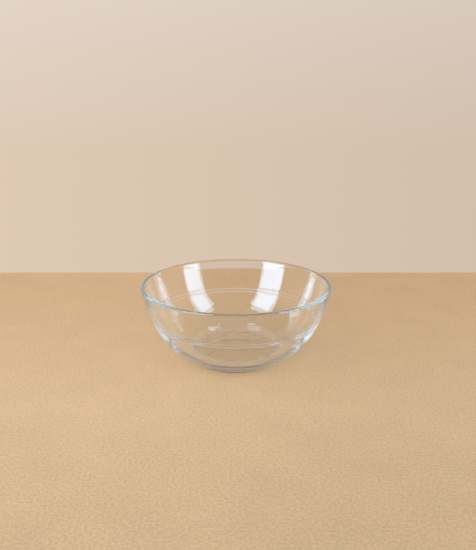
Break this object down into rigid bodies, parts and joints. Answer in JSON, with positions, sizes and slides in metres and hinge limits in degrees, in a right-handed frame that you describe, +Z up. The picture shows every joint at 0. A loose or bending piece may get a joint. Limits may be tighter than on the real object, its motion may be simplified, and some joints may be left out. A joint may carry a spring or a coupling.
{
  "type": "prep bowl",
  "caption": "Small round clear glass prep bowl with a flared wall, two fine raised lines round the outside, a rounded lip and a low foot.",
  "frame": {"origin": "on the bowl's axis, in the plane that the foot stands on", "axes": "+Z up along the bowl's axis; X and Y lie in the table, and the bowl is the same all round"},
  "size_m": [0.12, 0.12, 0.0496],
  "materials": {
    "clear_glass": "clear fire-polished pressed glass, very slightly blue-green in thick places"
  },
  "bodies": {
    "root": {"glass_bowl": "clear_glass"}
  },
  "joints": []
}
